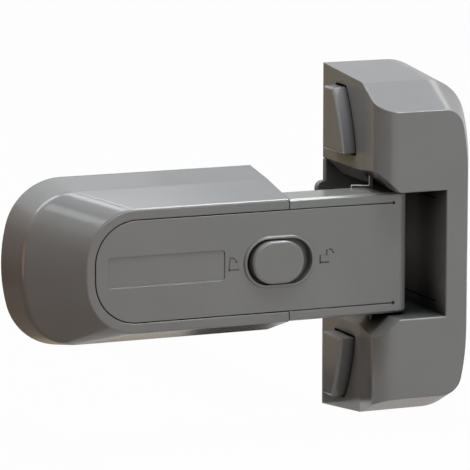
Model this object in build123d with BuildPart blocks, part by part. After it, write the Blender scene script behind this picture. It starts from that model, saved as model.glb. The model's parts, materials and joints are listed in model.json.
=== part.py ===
from build123d import *
import math
import os

os.makedirs("parts", exist_ok=True)

# The lock is seen as it is stuck on: +X runs from the latch base to the hinge bracket, +Y runs into
# the appliance and +Z is up. Y = 0 is the stuck face of the bracket's pad, X = 0 the hinge pin's axis
# and Z = 0 the middle. A depth is a distance from Y = 0 towards the person in front.

# Clearances
moving_gap = 0.3        # between bodies that move past each other
seat_gap = 0.15         # between a cover and the rim it drops into
pin_gap = 0.05          # round the hinge pin in the arm
shoulder_gap = 0.2      # between the arm's shoulder and the base's end face
press_gap = 0.01        # round the hinge pin in the bracket
join = 0.1              # overlap of two forms that become one solid
cut_margin = 1.0        # how far a cut starts outside the solid

# Adhesive pads
pad_thickness = 1.0
pad_proud = 0.5         # how far a pad stands behind its plate
pad_margin = 4.0        # from the plate's edge to the pad's

# Bracket: outline at the back, and how far the crease and the front lie inside it
bracket_back_half = 48.5
bracket_back_left = -2.6
bracket_back_right = 32.0
bracket_back_radius = 13.5
bracket_crease_inset = 2.6
bracket_crease_left = -2.4
bracket_crease_right_inset = 1.8
bracket_crease_radius = 12.4
bracket_front_inset = 9.1
bracket_front_left = -4.4
bracket_front_right_inset = 10.0
bracket_front_radius = 5.6
bracket_side_straight = 22.0    # half height of the right side's straight stretch
bracket_side_radius = 60.0      # from there to the corner's own radius
bracket_crease_depth = 25.3     # from the bracket's back
bracket_depth = 41.5
bracket_nose_radius = 6.0       # the rounding along the front left edge
bracket_crease_blend = 1.5
bracket_wall = 2.4

# Bracket window, where the arm's knuckle turns
window_gap = 0.7                # above and below the arm
window_right = 15.8
window_slope_end = 1.9          # where the 45 degree lead-in ends
window_lead_in = 14.0           # how far the lead-in runs on to the left
window_wall = 2.0
window_edge_radius = 0.4
window_slot_half = 14.3         # height of the slots in the window's end wall
window_slot_front = 35.4
window_slot_width = 0.35
window_slot_depth = 0.5

# Plates behind the bracket and the base
plate_thickness = 2.2
base_plate_thickness = 2.8
plate_rim = 2.0                 # housing wall left round a plate
tab_half = 15.4
tab_reach = 2.6                 # past the bracket's left face
tab_radius = 2.0
tab_margin = 1.0                # from the tab's edge to the pad's
lug_half = 22.0                 # height of the lugs on the plate's right edge
lug_length = 8.0
lug_reach = 1.0
lug_thickness = 1.2

# Side buttons
button_below_top = 5.2          # from the bracket's top to the button's
button_height = 17.5
button_back_depth = 8.9         # from the bracket's back
button_front_top_depth = 14.8
button_front_middle_depth = 19.0
button_front_bottom_depth = 21.3
button_reach = 3.9
button_travel = 2.4
button_edge_radius = 0.8
button_gap = 0.6                # round a button in the housing's wall
button_flange = 1.0             # how far the flange reaches past the button
button_flange_thickness = 1.6
catch_width = 8.0
catch_thickness = 1.5
catch_inset = 0.2               # from the flange's back edge to the catch
catch_hook = 1.5
catch_hook_height = 1.2
ear_wall = 1.4
ear_lip = 1.4
ear_height = 4.5                # above the plate
button_spring_turns = 5
button_spring_length = 11.0
button_spring_radius = 2.2
button_spring_wire = 0.5
spring_forward = 1.0            # from the button's middle to its spring
spring_post = 2.5
rib_thickness = 2.0
rib_width = 14.0
rib_reach = 4.2                 # behind the spring's axis

# Hinge pin and its spring
pin_radius = 0.45
pin_grip = 8.6                  # how far the pin reaches into each jaw
pin_boss_radius = 4.0
pin_cap = 1.5                   # material past each end of the pin
spring_wire = 0.35
hinge_spring_radius = 0.9
hinge_spring_turns = 4
hinge_spring_leg = 4.7
hinge_spring_leg_height = 0.75   # above the arm's top
hinge_spring_hook_inset = 0.85  # from the arm's back to the hooked end
hinge_spring_pitch = 0.9
hinge_spring_bend = 0.3
hinge_spring_hook = 1.5         # how far the leg's end goes into the arm
hinge_spring_rise = 3.0         # from the jaw to its lowest turn
hinge_spring_room = 1.6         # radius of the bore round it
spring_room_height = 4.4        # above the lowest turn

# Arm
arm_front_behind = 6.45         # from the bracket's front face back to the arm's
arm_thickness = 12.1
arm_right = 7.65
arm_corner_radius = 3.4
knuckle_left = -7.0
pin_behind_arm_front = 8.1
arm_wall = 1.8
arm_front_wall = 2.2
arm_rim = 1.0                   # shell wall left round the back cover
arm_edge = 0.6                  # bevel along the bar's front edges
arm_head_height = 0.9
arm_screw_length = 6.0
arm_screw_reach = 10.1          # from the tongue's end to the left screws
arm_screw_left_half = 8.4
arm_screw_right = -13.0
arm_screw_right_half = 10.5
cover_thickness = 1.6
groove_width = 0.3
groove_depth = 0.8
groove_end = 2.85
groove_dot_radius = 0.45
nameplate_left = -80.1
nameplate_right = -46.8
nameplate_half = 4.1
nameplate_depth = 0.3
nameplate_radius = 1.0

# Thumb slide and bolt
recess_centre = -31.03
recess_length = 19.1
recess_width = 12.5
recess_depth = 2.2
recess_floor = 1.6
rim_width = 0.8                 # of the raised rim round the recess
rim_height = 0.6
knob_centre = -31.84
knob_length = 15.0
knob_width = 11.7
knob_proud = 2.0
knob_edge_radius = 0.7
stem_length = 7.0
stem_width = 5.0
lock_travel = 0.7
unlock_travel = 2.2
bolt_width = 8.0
bolt_thickness = 2.4
bolt_tail = 9.0                 # past the knob's centre
bolt_chamfer = 0.6
guide_left = -78.0
guide_right = -46.0
guide_wall = 1.0
knob_screw_length = 3.4
detent_half = 9.0
detent_strip = 0.4
detent_seat = 7.6

# Base: outline at the back, and how far the crease and the front lie inside it
base_back_half = 22.9
base_back_left = -102.1
base_back_radius = 16.0
base_back_end_radius = 44.0     # of the left end between its corners
base_crease_inset = 2.1
base_crease_left_inset = 1.7
base_crease_radius = 14.5
base_crease_end_radius = 42.0
base_front_inset = 6.2
base_front_left_inset = 15.9
base_front_radius = 14.0
base_front_end_radius = 40.0
base_back_right = -29.8
base_front_right = -28.1
base_crease_depth = 12.1        # from the base's back
base_depth = 23.05
base_wall = 2.2
base_crease_blend = 3.0
base_edge_radius = 0.6
pocket_rim = 2.7                # of the base's front beside the pocket
pocket_end_rim = 2.3            # of the base's front at the pocket's left end
pocket_end_flat = 2.1           # half height of the pocket's straight end

# Keeper
keeper_thickness = 1.5
keeper_half = 6.0
keeper_foot = 9.5
keeper_foot_thickness = 1.2
keeper_lip = 1.6                # steel in front of the bolt
nose_width = 6.0
nose_gap = 0.15                 # from the nose to the keeper at rest

# Screws
screw_radius = 1.3
screw_head_radius = 2.5
screw_head_height = 1.3
screw_length = 7.0
boss_radius = 2.9
base_screw_length = 7.0
keeper_screw_radius = 0.9
keeper_screw_head = 1.7
keeper_head_height = 0.7
keeper_screw_length = 4.5
keeper_screw_reach = 5.7        # from the pocket's end
keeper_screw_half = 3.2
keeper_boss = 3.0
base_screw_places = [(-84.0, 12.0), (-84.0, -12.0), (-37.0, 12.5), (-37.0, -12.5)]

# Places worked out from the sizes above
bracket_back = pad_proud
bracket_front = bracket_back + bracket_depth
bracket_crease = bracket_back + bracket_crease_depth
bracket_plate_front = bracket_back + plate_thickness
bracket_crease_half = bracket_back_half - bracket_crease_inset
bracket_crease_right = bracket_back_right - bracket_crease_right_inset
bracket_front_half = bracket_back_half - bracket_front_inset
bracket_front_right = bracket_back_right - bracket_front_right_inset
base_crease_half = base_back_half - base_crease_inset
base_crease_left = base_back_left + base_crease_left_inset
base_front_half = base_back_half - base_front_inset
base_front_left = base_back_left + base_front_left_inset
pocket_half = base_front_half - pocket_rim
pocket_left = base_front_left + pocket_end_rim
pocket_radius = pocket_half - pocket_end_flat
arm_half = base_front_half
window_half = arm_half + window_gap
pin_half_length = window_half + pin_grip
hinge_spring_bottom = window_half + hinge_spring_rise
spring_room_top = hinge_spring_bottom + spring_room_height
arm_front = bracket_front - arm_front_behind
arm_back = arm_front - arm_thickness
pin_depth = arm_front - pin_behind_arm_front
base_back = arm_front - base_depth
base_crease = base_back + base_crease_depth
base_plate_front = base_back + base_plate_thickness
base_surface = base_back - pad_proud
pocket_floor = arm_back - moving_gap
tongue_half = pocket_half - moving_gap
tongue_left = pocket_left + moving_gap
tongue_radius = pocket_radius - moving_gap
arm_screw_left = tongue_left + arm_screw_reach
arm_screw_places = [
    (arm_screw_left, arm_screw_left_half),
    (arm_screw_left, -arm_screw_left_half),
    (arm_screw_right, arm_screw_right_half),
    (arm_screw_right, -arm_screw_right_half),
]
shoulder = base_front_right + shoulder_gap
groove_half = (pocket_half + tongue_half) / 2
button_top = bracket_back_half - button_below_top
button_bottom = button_top - button_height
button_middle = (button_top + button_bottom) / 2
flange_back = bracket_back_left + bracket_wall + moving_gap
flange_front = flange_back + button_flange_thickness
spring_depth = bracket_back + (button_back_depth + button_front_middle_depth) / 2 + spring_forward
rib_left = flange_front + button_spring_length
lug_right = bracket_back_right - plate_rim - seat_gap + lug_reach
ear_left = flange_back
ear_top = bracket_plate_front + ear_height
catch_root = bracket_back + button_back_depth - button_flange + catch_inset
catch_leg = ear_left + ear_wall + ear_lip + moving_gap
catch_tip = ear_top - ear_lip - moving_gap - catch_hook_height


def wall_plane(depth):
    """A plane parallel to the appliance, at a depth; local x is X and local y is Z."""
    return Plane.XZ.offset(depth)


def right_rounded(depth, left, right, half, radius, side_radius):
    """The bracket's kind of outline: straight left side, right corners that tighten towards the ends."""
    turn = math.asin((half - radius - bracket_side_straight) / (side_radius - radius))
    side_x = right - side_radius * (1 - math.cos(turn))
    side_z = bracket_side_straight + side_radius * math.sin(turn)
    corner_x = side_x - radius * math.cos(turn)
    with BuildSketch(wall_plane(depth)) as outline:
        with BuildLine():
            Polyline((corner_x, half), (left, half), (left, -half), (corner_x, -half))
            Line((right, bracket_side_straight), (right, -bracket_side_straight))
            for side in (1, -1):
                joint = (side_x, side * side_z)
                TangentArc((corner_x, side * half), joint, tangent=(1, 0))
                side_way = (math.sin(turn), -side * math.cos(turn))
                TangentArc(joint, (right, side * bracket_side_straight), tangent=side_way)
        make_face()
    return outline.sketch


def left_rounded(depth, left, right, half, radius, end_radius):
    """The base's kind of outline: a bowed left end with rounded corners, straight right side."""
    corner = left + end_radius - math.sqrt(end_radius**2 - half**2)
    with BuildSketch(wall_plane(depth)) as outline:
        with BuildLine():
            Polyline((corner, half), (right, half), (right, -half), (corner, -half))
            ThreePointArc((corner, half), (left, 0), (corner, -half))
        make_face()
        fillet(outline.vertices().group_by(Axis.X)[0], radius)
    return outline.sketch


def bracket_section(depth, which, inset=0.0):
    """The bracket's back, crease or front outline, drawn in by a wall."""
    left, right, half, radius = {
        "back": (bracket_back_left, bracket_back_right, bracket_back_half, bracket_back_radius),
        "crease": (bracket_crease_left, bracket_crease_right, bracket_crease_half, bracket_crease_radius),
        "front": (bracket_front_left, bracket_front_right, bracket_front_half, bracket_front_radius),
    }[which]
    side_radius = bracket_side_radius - inset
    return right_rounded(depth, left + inset, right - inset, half - inset, radius - inset, side_radius)


def base_section(depth, which, inset=0.0):
    """The base's back, crease or front outline, drawn in by a wall."""
    left, right, half, radius, end = {
        "back": (
            base_back_left, base_back_right, base_back_half, base_back_radius, base_back_end_radius
        ),
        "crease": (
            base_crease_left, base_back_right, base_crease_half, base_crease_radius, base_crease_end_radius
        ),
        "front": (
            base_front_left, base_front_right, base_front_half, base_front_radius, base_front_end_radius
        ),
    }[which]
    return left_rounded(
        depth, left + inset, right - inset, half - inset, radius - inset, end - inset
    )


def window_outline(depth, wall=0.0):
    """The bracket's window with its 45 degree lead-ins, open to the left."""
    with BuildSketch(wall_plane(depth)) as outline:
        with BuildLine():
            Polyline(
                (window_right, window_half),
                (window_slope_end, window_half),
                (window_slope_end - window_lead_in, window_half + window_lead_in),
                (window_slope_end - window_lead_in, -window_half - window_lead_in),
                (window_slope_end, -window_half),
                (window_right, -window_half),
                close=True,
            )
        make_face()
        if wall:
            offset(amount=wall, kind=Kind.INTERSECTION)
    return outline.sketch


def bracket_pad_forms(depth, gap=0.0):
    """The two outlines that make up the bracket's pad: along the plate and over its tab."""
    left = bracket_back_left - tab_reach + tab_margin + gap
    right = bracket_back_left + plate_rim + 2 * pad_margin
    with BuildSketch(wall_plane(depth)) as over_tab:
        with Locations(((left + right) / 2, 0)):
            Rectangle(right - left, 2 * (tab_half - tab_margin - gap))
    return bracket_section(depth, "back", plate_rim + pad_margin + gap), over_tab.sketch


def button_outline(x, grow=0.0):
    """A side button seen from the left: straight back edge, curved front edge."""
    with BuildSketch(Plane.YZ.offset(x)) as outline:
        with BuildLine():
            Polyline(
                (-bracket_back - button_front_bottom_depth, button_bottom),
                (-bracket_back - button_back_depth, button_bottom),
                (-bracket_back - button_back_depth, button_top),
                (-bracket_back - button_front_top_depth, button_top),
            )
            ThreePointArc(
                (-bracket_back - button_front_top_depth, button_top),
                (-bracket_back - button_front_middle_depth, button_middle),
                (-bracket_back - button_front_bottom_depth, button_bottom),
            )
        make_face()
        if grow:
            offset(amount=grow)
    return outline.sketch


def arm_outline(depth, inset=0.0, right=arm_right):
    """The arm: a wide bar from the shoulder to the knuckle and the D-ended tongue before it."""
    with BuildSketch(wall_plane(depth)) as outline:
        with Locations(((tongue_left + shoulder + join) / 2, 0)):
            Rectangle(shoulder + join - tongue_left, 2 * tongue_half)
        fillet(outline.vertices().group_by(Axis.X)[0], tongue_radius)
        with Locations(((shoulder + arm_right) / 2, 0)):
            Rectangle(arm_right - shoulder, 2 * arm_half)
        if inset:
            offset(amount=-inset, kind=Kind.INTERSECTION)
        if right < arm_right:
            with Locations((right + arm_half, 0)):
                Rectangle(2 * arm_half, 4 * arm_half, mode=Mode.SUBTRACT)
    return outline.sketch


def screw(x, z, head_depth, length, head_radius=screw_head_radius, head_height=screw_head_height):
    """A pan-head screw driven towards the person in front; head_depth is the back of its head."""
    with BuildPart() as one:
        with BuildSketch(wall_plane(head_depth)):
            with Locations((x, z)):
                Circle(head_radius)
        extrude(amount=head_height)
        chamfer(one.edges().group_by(Axis.Y)[-1], head_height / 3)
        with BuildSketch(wall_plane(head_depth + head_height)):
            with Locations((x, z)):
                Circle(screw_radius)
        extrude(amount=length)
    return one.part


def edges_at_depth(body, depth):
    """The edges that lie in a plane parallel to the appliance."""
    return body.edges().filter_by_position(Axis.Y, -depth - join, -depth + join)


# Bracket
with BuildPart() as bracket_shape:
    loft([bracket_section(bracket_back, "back"), bracket_section(bracket_crease, "crease")], ruled=True)
    loft([bracket_section(bracket_crease, "crease"), bracket_section(bracket_front, "front")], ruled=True)
    fillet(edges_at_depth(bracket_shape, bracket_crease), bracket_crease_blend)
    nose_edge = bracket_shape.edges().filter_by(Axis.Z).group_by(Axis.Y)[0].sort_by(Axis.X)[0]
    fillet(nose_edge, bracket_nose_radius)

with BuildPart() as bracket_cavity:
    loft(
        [
            bracket_section(bracket_back, "back", bracket_wall),
            bracket_section(bracket_crease, "crease", bracket_wall),
        ],
        ruled=True,
    )
    loft(
        [
            bracket_section(bracket_crease, "crease", bracket_wall),
            bracket_section(bracket_front - bracket_wall, "front", bracket_wall),
        ],
        ruled=True,
    )
    inner_nose_edge = bracket_cavity.edges().filter_by(Axis.Z).group_by(Axis.Y)[0].sort_by(Axis.X)[0]
    fillet(inner_nose_edge, bracket_nose_radius - bracket_wall)
    extrude(window_outline(bracket_back, window_wall), amount=bracket_depth, mode=Mode.SUBTRACT)

# Inner ribs and bosses, kept inside the housing's outer shape
with BuildPart() as bracket_ribs:
    for side in (1, -1):
        with Locations((0, -pin_depth, side * (window_half + pin_half_length + pin_cap) / 2)):
            Cylinder(pin_boss_radius, pin_half_length + pin_cap - window_half)
        with BuildSketch(Plane.YZ.offset(rib_left)):
            with Locations((-(spring_depth + bracket_front) / 2, side * button_middle)):
                Rectangle(bracket_front - spring_depth + 2 * rib_reach, rib_width)
        extrude(amount=rib_thickness)
    add(bracket_shape.part, mode=Mode.INTERSECT)

with BuildPart() as bracket_housing:
    add(bracket_shape.part)
    add(bracket_cavity.part, mode=Mode.SUBTRACT)
    add(bracket_ribs.part)
    for side in (1, -1):
        with BuildSketch(Plane.YZ.offset(rib_left)):
            with Locations((-spring_depth, side * button_middle)):
                Circle(button_spring_radius - button_spring_wire)
        extrude(amount=-spring_post)
    extrude(window_outline(bracket_plate_front, 0), amount=bracket_depth, mode=Mode.SUBTRACT)
    extrude(
        bracket_section(bracket_back, "back", plate_rim), amount=plate_thickness, mode=Mode.SUBTRACT
    )
    extrude(window_outline(bracket_back, 0), amount=plate_thickness, mode=Mode.SUBTRACT)
    with Locations((0, -pin_depth, 0)):
        Cylinder(pin_radius + press_gap, 2 * pin_half_length, mode=Mode.SUBTRACT)
    with BuildSketch(Plane.XY):
        with Locations((0, -pin_depth)):
            Circle(hinge_spring_room)
    extrude(amount=spring_room_top, mode=Mode.SUBTRACT)
    for side in (1, -1):
        with BuildSketch(wall_plane(bracket_plate_front - lug_thickness - seat_gap)):
            with Locations((lug_right - lug_reach, side * lug_half)):
                Rectangle(2 * (lug_reach + seat_gap), lug_length + 2 * seat_gap)
        extrude(amount=lug_thickness + 2 * seat_gap, mode=Mode.SUBTRACT)
        with BuildSketch(wall_plane(bracket_plate_front)):
            with Locations((window_right, side * window_slot_half)):
                Rectangle(2 * window_slot_depth, window_slot_width)
        extrude(amount=window_slot_front - bracket_plate_front, mode=Mode.SUBTRACT)
    upper_opening = extrude(
        button_outline(flange_back - bracket_wall - 2 * moving_gap - cut_margin, button_gap),
        amount=bracket_wall + 2 * moving_gap + cut_margin,
        mode=Mode.SUBTRACT,
    )
    mirror(upper_opening, about=Plane.XY, mode=Mode.SUBTRACT)
    mouth_edges = edges_at_depth(bracket_housing, bracket_front).filter_by(
        lambda edge: abs(edge.center().Z) < window_half + join and edge.center().X < window_right + join
    )
    fillet(mouth_edges, window_edge_radius)
bracket_housing.part.label = "bracket_housing"

with BuildPart() as bracket_back_plate:
    extrude(bracket_section(bracket_back, "back", plate_rim + seat_gap), amount=plate_thickness)
    with BuildSketch(wall_plane(bracket_back)):
        with BuildLine():
            edge_half = window_half + window_slope_end - bracket_back_left - moving_gap
            edge_reach = plate_rim + seat_gap + join
            Polyline(
                (bracket_back_left + edge_reach, edge_half - edge_reach),
                (bracket_back_left, edge_half),
                (bracket_back_left, -edge_half),
                (bracket_back_left + edge_reach, edge_reach - edge_half),
                close=True,
            )
        make_face()
    extrude(amount=plate_thickness)
    with BuildSketch(wall_plane(bracket_back)) as tab:
        with Locations((bracket_back_left, 0)):
            Rectangle(2 * tab_reach, 2 * tab_half)
        fillet(tab.vertices().group_by(Axis.X)[0], tab_radius)
    extrude(amount=plate_thickness)
    with BuildSketch(wall_plane(bracket_plate_front - lug_thickness)):
        with Locations((lug_right - lug_reach, lug_half), (lug_right - lug_reach, -lug_half)):
            Rectangle(2 * lug_reach, lug_length)
    extrude(amount=lug_thickness)
    for form in bracket_pad_forms(bracket_back):
        extrude(form, amount=pad_thickness - pad_proud, mode=Mode.SUBTRACT)
    for side in (1, -1):
        with BuildSketch(Plane.XY.offset(side * button_middle - catch_width / 2)):
            with BuildLine():
                Polyline(
                    (ear_left, -bracket_plate_front),
                    (ear_left, -ear_top),
                    (ear_left + ear_wall + ear_lip, -ear_top),
                    (ear_left + ear_wall + ear_lip, -ear_top + ear_lip),
                    (ear_left + ear_wall, -ear_top + ear_lip),
                    (ear_left + ear_wall, -bracket_plate_front),
                    close=True,
                )
            make_face()
        extrude(amount=catch_width)
bracket_back_plate.part.label = "bracket_back_plate"

with BuildPart() as bracket_adhesive_pad:
    for form in bracket_pad_forms(0, seat_gap):
        extrude(form, amount=pad_thickness)
bracket_adhesive_pad.part.label = "bracket_adhesive_pad"

# Side buttons, whose catches hold the housing on the back plate
with BuildPart() as upper_release_button:
    button_face = bracket_back_left - button_reach
    extrude(button_outline(button_face), amount=flange_back - button_face)
    fillet(upper_release_button.faces().sort_by(Axis.X)[0].edges(), button_edge_radius)
    extrude(button_outline(flange_back, button_flange), amount=button_flange_thickness)
    with BuildSketch(Plane.YZ.offset(flange_front)):
        with Locations((-spring_depth, button_middle)):
            Circle(button_spring_radius - button_spring_wire)
    extrude(amount=spring_post)
    with BuildSketch(Plane.XY.offset(button_middle - catch_width / 2)):
        with BuildLine():
            Polyline(
                (flange_front - join, -catch_root),
                (flange_front - join, -catch_root - catch_thickness),
                (catch_leg + catch_thickness, -catch_root - catch_thickness),
                (catch_leg + catch_thickness, -catch_tip),
                (catch_leg - catch_hook, -catch_tip),
                (catch_leg - catch_hook, -catch_tip - catch_hook_height),
                (catch_leg, -catch_tip - catch_hook_height),
                (catch_leg, -catch_root),
                close=True,
            )
        make_face()
    extrude(amount=catch_width)
upper_release_button.part.label = "upper_release_button"

with BuildPart() as lower_release_button:
    mirror(upper_release_button.part, about=Plane.XY)
lower_release_button.part.label = "lower_release_button"


def biarc(start, start_way, end, end_way):
    """Two arcs from one point to another, tangent to both headings and to each other."""
    chord, both = end - start, start_way + end_way
    spread = 4 - both.dot(both)
    reach = (math.sqrt(chord.dot(both) ** 2 + chord.dot(chord) * spread) - chord.dot(both)) / spread
    knee = (start + start_way * reach + end - end_way * reach) * 0.5
    return [Edge.make_tangent_arc(start, start_way, knee), Edge.make_tangent_arc(end, end_way * -1, knee)]


def coil(centre, axis, start, radius, pitch, turns):
    """A coil's centre line as half turns, with its first point and heading."""
    side = axis.cross(start)
    rise = pitch / (2 * math.pi * radius)
    places, headings = [], []
    for half in range(int(2 * turns) + 1):
        angle = half * math.pi
        places.append(
            centre + (start * math.cos(angle) + side * math.sin(angle)) * radius + axis * (pitch * half / 2)
        )
        headings.append((side * math.cos(angle) - start * math.sin(angle) + axis * rise).normalized())
    edges = []
    for half in range(int(2 * turns)):
        edges += biarc(places[half], headings[half], places[half + 1], headings[half + 1])
    return edges, places[0], headings[0]


def wire_body(path, diameter):
    """A round wire along a centre line."""
    with BuildPart() as body:
        with BuildSketch(Plane(origin=path @ 0, z_dir=path % 0)):
            Circle(diameter / 2)
        sweep(path=path)
    return body.part


# Springs
button_spring_pitch = (button_spring_length - button_spring_wire - 2 * seat_gap) / button_spring_turns
button_spring_start = Vector(flange_front + seat_gap + button_spring_wire / 2, -spring_depth, button_middle)
button_coil = coil(
    button_spring_start,
    Vector(1, 0, 0),
    Vector(0, 0, 1),
    button_spring_radius,
    button_spring_pitch,
    button_spring_turns,
)[0]
with BuildPart() as upper_button_spring:
    add(wire_body(Wire(button_coil), button_spring_wire))
upper_button_spring.part.label = "upper_button_spring"

with BuildPart() as lower_button_spring:
    mirror(upper_button_spring.part, about=Plane.XY)
lower_button_spring.part.label = "lower_button_spring"

with BuildPart() as hinge_pin:
    with Locations((0, -pin_depth, 0)):
        Cylinder(pin_radius, 2 * pin_half_length)
    chamfer(hinge_pin.edges(), pin_radius / 4)
hinge_pin.part.label = "hinge_pin"

# The hinge spring turns round the pin inside the upper jaw, and its free leg hooks into the arm
leg_height = arm_half + hinge_spring_leg_height
leg_y = -pin_depth + hinge_spring_radius
hook_y = -arm_back - hinge_spring_hook_inset
up, left = Vector(0, 0, 1), Vector(-1, 0, 0)
hinge_coil, coil_start, coil_heading = coil(
    Vector(0, -pin_depth, hinge_spring_bottom),
    up * -1,
    Vector(0, 1, 0),
    hinge_spring_radius,
    -hinge_spring_pitch,
    hinge_spring_turns,
)
bend = hinge_spring_bend
leg_corner = Vector(-hinge_spring_leg, hook_y, leg_height)
coil_corner = Vector(-bend, leg_y, leg_height)
leg_way = (coil_corner - leg_corner).normalized()
leg_points = [
    leg_corner - up * (hinge_spring_leg_height + hinge_spring_hook),
    leg_corner - up * bend,
    leg_corner + leg_way * bend,
    coil_corner - leg_way * bend,
    coil_corner + up * bend,
    coil_start + (left - up) * bend,
]
hinge_leg = [
    Edge.make_line(leg_points[0], leg_points[1]),
    *biarc(leg_points[1], up, leg_points[2], leg_way),
    Edge.make_line(leg_points[2], leg_points[3]),
    *biarc(leg_points[3], leg_way, leg_points[4], up),
    Edge.make_line(leg_points[4], leg_points[5]),
    *biarc(leg_points[5], up, coil_start, coil_heading),
]
with BuildPart() as hinge_spring:
    add(wire_body(Wire(hinge_leg + hinge_coil), spring_wire))
hinge_spring.part.label = "hinge_spring"

# Arm
bolt_front = arm_front - recess_depth - recess_floor - seat_gap
bolt_back = bolt_front - bolt_thickness
guide_half = bolt_width / 2 + seat_gap + guide_wall / 2
slot_length = stem_length + lock_travel + unlock_travel + 2 * moving_gap
with BuildPart() as arm_front_shell:
    extrude(arm_outline(arm_back), amount=arm_thickness)
    fillet(arm_front_shell.edges().filter_by(Axis.Z).group_by(Axis.X)[-1], arm_corner_radius)
    front_rims = arm_front_shell.edges().filter_by(Axis.X).group_by(Axis.Y)[0]
    chamfer(
        front_rims.filter_by(lambda edge: abs(edge.center().Z) > tongue_half + arm_edge), arm_edge
    )
    extrude(
        arm_outline(arm_back, arm_wall, knuckle_left),
        amount=arm_thickness - arm_front_wall,
        mode=Mode.SUBTRACT,
    )
    extrude(
        arm_outline(arm_back, arm_rim, knuckle_left + arm_wall - arm_rim),
        amount=cover_thickness,
        mode=Mode.SUBTRACT,
    )
    with BuildSketch(wall_plane(arm_front - recess_depth - recess_floor)):
        with Locations((recess_centre, 0)):
            SlotOverall(recess_length + 2 * arm_wall, recess_width + 2 * arm_wall)
    extrude(amount=recess_depth + recess_floor - arm_front_wall)
    for place in arm_screw_places:
        with BuildSketch(wall_plane(arm_back + cover_thickness)):
            with Locations(place):
                Circle(boss_radius)
        extrude(amount=arm_thickness - cover_thickness - arm_front_wall)
        with BuildSketch(wall_plane(arm_back + cover_thickness)):
            with Locations(place):
                Circle(screw_radius + pin_gap)
        extrude(amount=screw_length, mode=Mode.SUBTRACT)
    for side in (1, -1):
        with BuildSketch(wall_plane(bolt_back)):
            with Locations(((guide_left + guide_right) / 2, side * guide_half)):
                Rectangle(guide_right - guide_left, guide_wall)
        extrude(amount=arm_front - arm_front_wall - bolt_back)
    with BuildSketch(wall_plane(bolt_back - seat_gap)):
        with Locations((tongue_left, 0)):
            Rectangle(4 * arm_wall, nose_width + 2 * seat_gap)
    extrude(amount=bolt_thickness + 2 * seat_gap, mode=Mode.SUBTRACT)
    with BuildSketch(wall_plane(arm_front)):
        with Locations((recess_centre, 0)):
            SlotOverall(recess_length + 2 * rim_width, recess_width + 2 * rim_width)
    extrude(amount=rim_height)
    fillet(edges_at_depth(arm_front_shell, arm_front + rim_height), rim_height - join)
    with BuildSketch(wall_plane(arm_front + rim_height)):
        with Locations((recess_centre, 0)):
            SlotOverall(recess_length, recess_width)
    extrude(amount=-recess_depth - rim_height, mode=Mode.SUBTRACT)
    with BuildSketch(wall_plane(arm_front - recess_depth)):
        with Locations((knob_centre + (unlock_travel - lock_travel) / 2, 0)):
            SlotOverall(slot_length, stem_width + 2 * moving_gap)
    extrude(amount=-2 * recess_floor, mode=Mode.SUBTRACT)
    with BuildSketch(wall_plane(arm_front)):
        with Locations(((nameplate_left + nameplate_right) / 2, 0)):
            RectangleRounded(nameplate_right - nameplate_left, 2 * nameplate_half, nameplate_radius)
    extrude(amount=-nameplate_depth, mode=Mode.SUBTRACT)
    for side in (1, -1):
        with BuildSketch(wall_plane(arm_front)):
            with Locations(((shoulder + groove_end) / 2, side * groove_half)):
                Rectangle(groove_end - shoulder, groove_width)
            with Locations((groove_end, side * groove_half)):
                Circle(groove_dot_radius)
        extrude(amount=-groove_depth, mode=Mode.SUBTRACT)
    with Locations((0, -pin_depth, 0)):
        Cylinder(pin_radius + pin_gap, 4 * arm_half, mode=Mode.SUBTRACT)
    with BuildSketch(Plane.XY.offset(arm_half)):
        with Locations((-hinge_spring_leg, hook_y)):
            Circle(spring_wire / 2 + seat_gap)
    extrude(amount=-hinge_spring_hook - 2 * seat_gap, mode=Mode.SUBTRACT)
arm_front_shell.part.label = "arm_front_shell"

with BuildPart() as arm_back_cover:
    extrude(
        arm_outline(arm_back, arm_rim + seat_gap, knuckle_left + arm_wall - arm_rim - seat_gap),
        amount=cover_thickness,
    )
    for place in arm_screw_places:
        with BuildSketch(wall_plane(arm_back)):
            with Locations(place):
                Circle(screw_head_radius + seat_gap)
        extrude(amount=arm_head_height, mode=Mode.SUBTRACT)
        with BuildSketch(wall_plane(arm_back)):
            with Locations(place):
                Circle(screw_radius + seat_gap)
        extrude(amount=cover_thickness, mode=Mode.SUBTRACT)
arm_back_cover.part.label = "arm_back_cover"

with BuildPart() as arm_screws:
    for place in arm_screw_places:
        add(screw(*place, arm_back, arm_screw_length, head_height=arm_head_height))
arm_screws.part.label = "arm_screws"

# Thumb slide, bolt and their screw
knob_back = arm_front - recess_depth + seat_gap
with BuildPart() as slide_knob:
    with BuildSketch(wall_plane(knob_back)):
        with Locations((knob_centre, 0)):
            SlotOverall(knob_length, knob_width)
    extrude(amount=recess_depth - seat_gap + knob_proud)
    fillet(slide_knob.faces().sort_by(Axis.Y)[0].edges(), knob_edge_radius)
    with BuildSketch(wall_plane(bolt_front)):
        with Locations((knob_centre, 0)):
            SlotOverall(stem_length, stem_width)
    extrude(amount=knob_back - bolt_front)
    with BuildSketch(wall_plane(bolt_front)):
        with Locations((knob_centre, 0)):
            Circle(screw_radius + pin_gap)
    extrude(amount=knob_screw_length, mode=Mode.SUBTRACT)
slide_knob.part.label = "slide_knob"

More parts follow.
